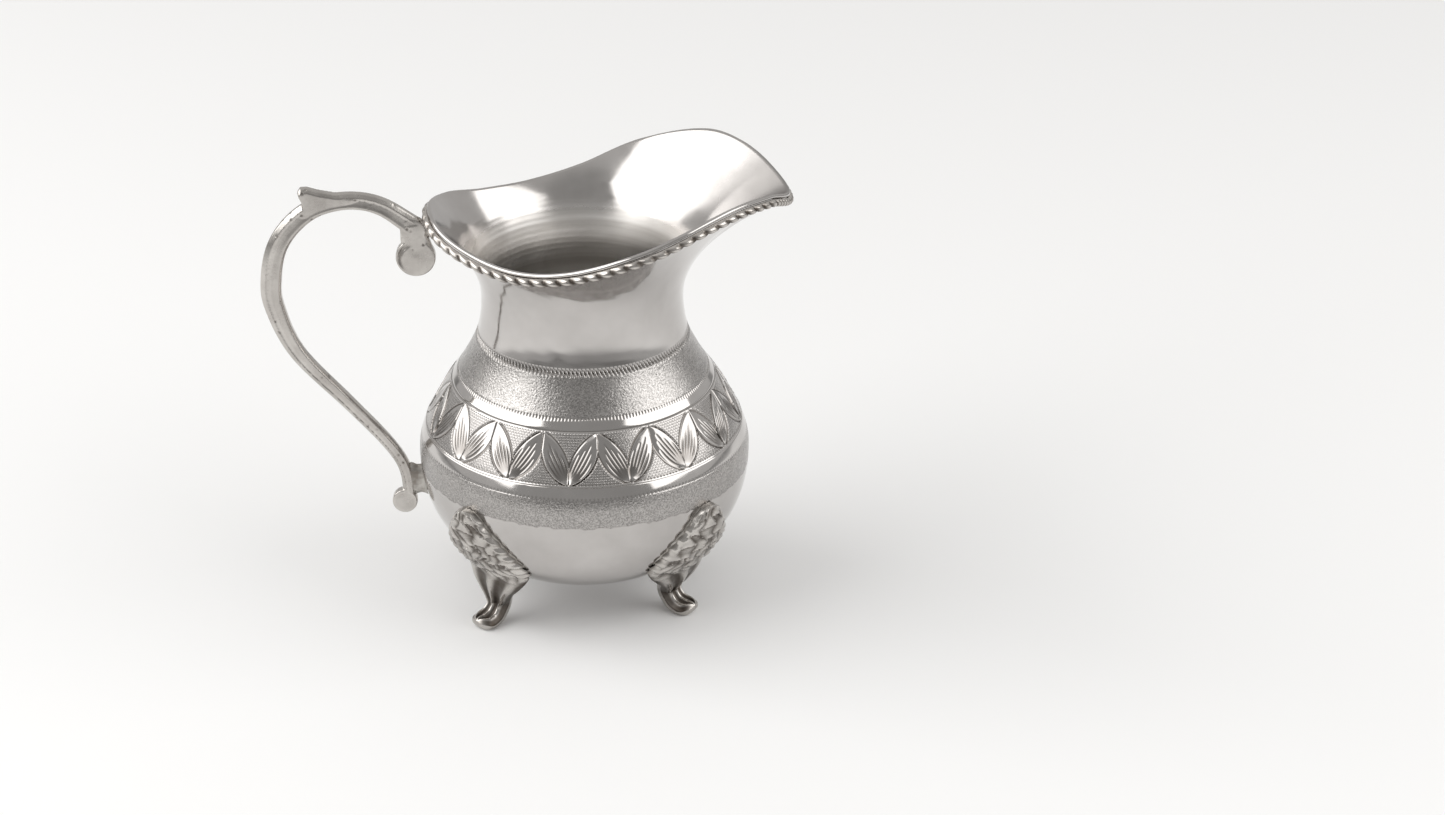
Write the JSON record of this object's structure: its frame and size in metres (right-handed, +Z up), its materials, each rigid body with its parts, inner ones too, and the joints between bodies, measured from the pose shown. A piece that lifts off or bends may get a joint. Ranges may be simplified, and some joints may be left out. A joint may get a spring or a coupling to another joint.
{
  "type": "cream jug",
  "caption": "Small footed cream jug on four feet with a turned body, engraved leaf band, drawn-out pouring lip with a gadroon border and a cast scroll handle.",
  "frame": {"origin": "centre of the bounding box at table level", "axes": "+Z up along the body's axis, +X towards the pouring lip, handle at -X"},
  "size_m": [0.1152, 0.0724, 0.1003],
  "materials": {
    "spun_silver": "polished silver plate, lightly worn",
    "engraved_silver": "polished silver plate with stippled matte bands and bright-cut leaves",
    "border_silver": "silver plate, bright on the crests and tarnished in the grooves",
    "cast_silver": "cast and plated, soft polish with pits and dark hollows",
    "solder": "dull, slightly oxidised solder"
  },
  "bodies": {
    "root": {"body_lower_bowl": "spun_silver", "body_upper_shell": "engraved_silver", "rim_border": "border_silver", "handle": "cast_silver", "foot_rear_right": "cast_silver", "foot_front_right": "cast_silver", "foot_rear_left": "cast_silver", "foot_front_left": "cast_silver", "foot_rear_right_solder": "solder", "foot_front_right_solder": "solder", "foot_rear_left_solder": "solder", "foot_front_left_solder": "solder", "lower_handle_solder": "solder", "upper_handle_solder": "solder"}
  },
  "joints": []
}
